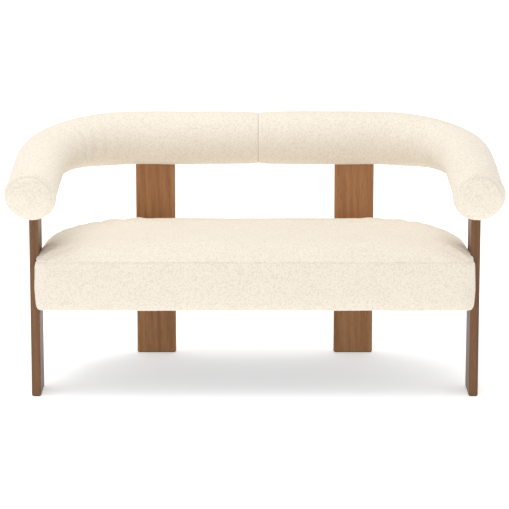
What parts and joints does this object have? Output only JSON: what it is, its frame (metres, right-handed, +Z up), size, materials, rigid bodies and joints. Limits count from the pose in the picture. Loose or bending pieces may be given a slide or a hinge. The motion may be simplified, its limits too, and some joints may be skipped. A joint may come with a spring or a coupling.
{
  "type": "sofa with wooden legs",
  "caption": "Loveseat with a round upholstered bolster that bends from arm to back to arm, a thick D-shaped seat and plank legs that carry both",
  "frame": {"origin": "on the floor below the middle of the sofa's plan", "axes": "+Z up, +X to the right along the sofa's length as seen from the front, +Y from the front to the back"},
  "size_m": [1.498, 0.7112, 0.796],
  "materials": {
    "boucle": "cream boucle, nubby and matt",
    "stained_wood": "solid wood, walnut-brown stain, satin lacquer",
    "plywood": "raw birch plywood",
    "foam": "open-cell upholstery foam",
    "webbing": "elastic upholstery webbing",
    "lining": "black non-woven lining",
    "felt_pad": "brown felt",
    "zinc_bolt": "zinc plated"
  },
  "bodies": {
    "root": {"arm_end_panel_left": "boucle", "arm_end_panel_right": "boucle", "bolster_arm_rail_left": "plywood", "bolster_arm_rail_right": "plywood", "bolster_back_rail": "plywood", "bolster_bolt_rear_leg_left": "zinc_bolt", "bolster_bolt_rear_leg_right": "zinc_bolt", "bolster_bolt_side_leg_left": "zinc_bolt", "bolster_bolt_side_leg_right": "zinc_bolt", "bolster_foam_left": "foam", "bolster_foam_right": "foam", "bolster_sleeve_left": "boucle", "bolster_sleeve_right": "boucle", "rear_leg_left": "stained_wood", "rear_leg_pad_left": "felt_pad", "rear_leg_pad_right": "felt_pad", "rear_leg_right": "stained_wood", "seat_bolt_rear_leg_left_1": "zinc_bolt", "seat_bolt_rear_leg_left_2": "zinc_bolt", "seat_bolt_rear_leg_right_1": "zinc_bolt", "seat_bolt_rear_leg_right_2": "zinc_bolt", "seat_bolt_side_leg_left_1": "zinc_bolt", "seat_bolt_side_leg_left_2": "zinc_bolt", "seat_bolt_side_leg_right_1": "zinc_bolt", "seat_bolt_side_leg_right_2": "zinc_bolt", "seat_border": "boucle", "seat_corner_block_left": "plywood", "seat_corner_block_right": "plywood", "seat_cross_rail_left": "plywood", "seat_cross_rail_right": "plywood", "seat_dust_cover": "lining", "seat_foam": "foam", "seat_front_rail": "plywood", "seat_rear_rail": "plywood", "seat_side_rail_left": "plywood", "seat_side_rail_right": "plywood", "seat_top_cover": "boucle", "seat_webbing_1": "webbing", "seat_webbing_2": "webbing", "seat_webbing_3": "webbing", "seat_webbing_4": "webbing", "seat_webbing_5": "webbing", "seat_webbing_6": "webbing", "seat_webbing_7": "webbing", "seat_webbing_8": "webbing", "side_leg_left": "stained_wood", "side_leg_pad_left": "felt_pad", "side_leg_pad_right": "felt_pad", "side_leg_right": "stained_wood"}
  },
  "joints": []
}
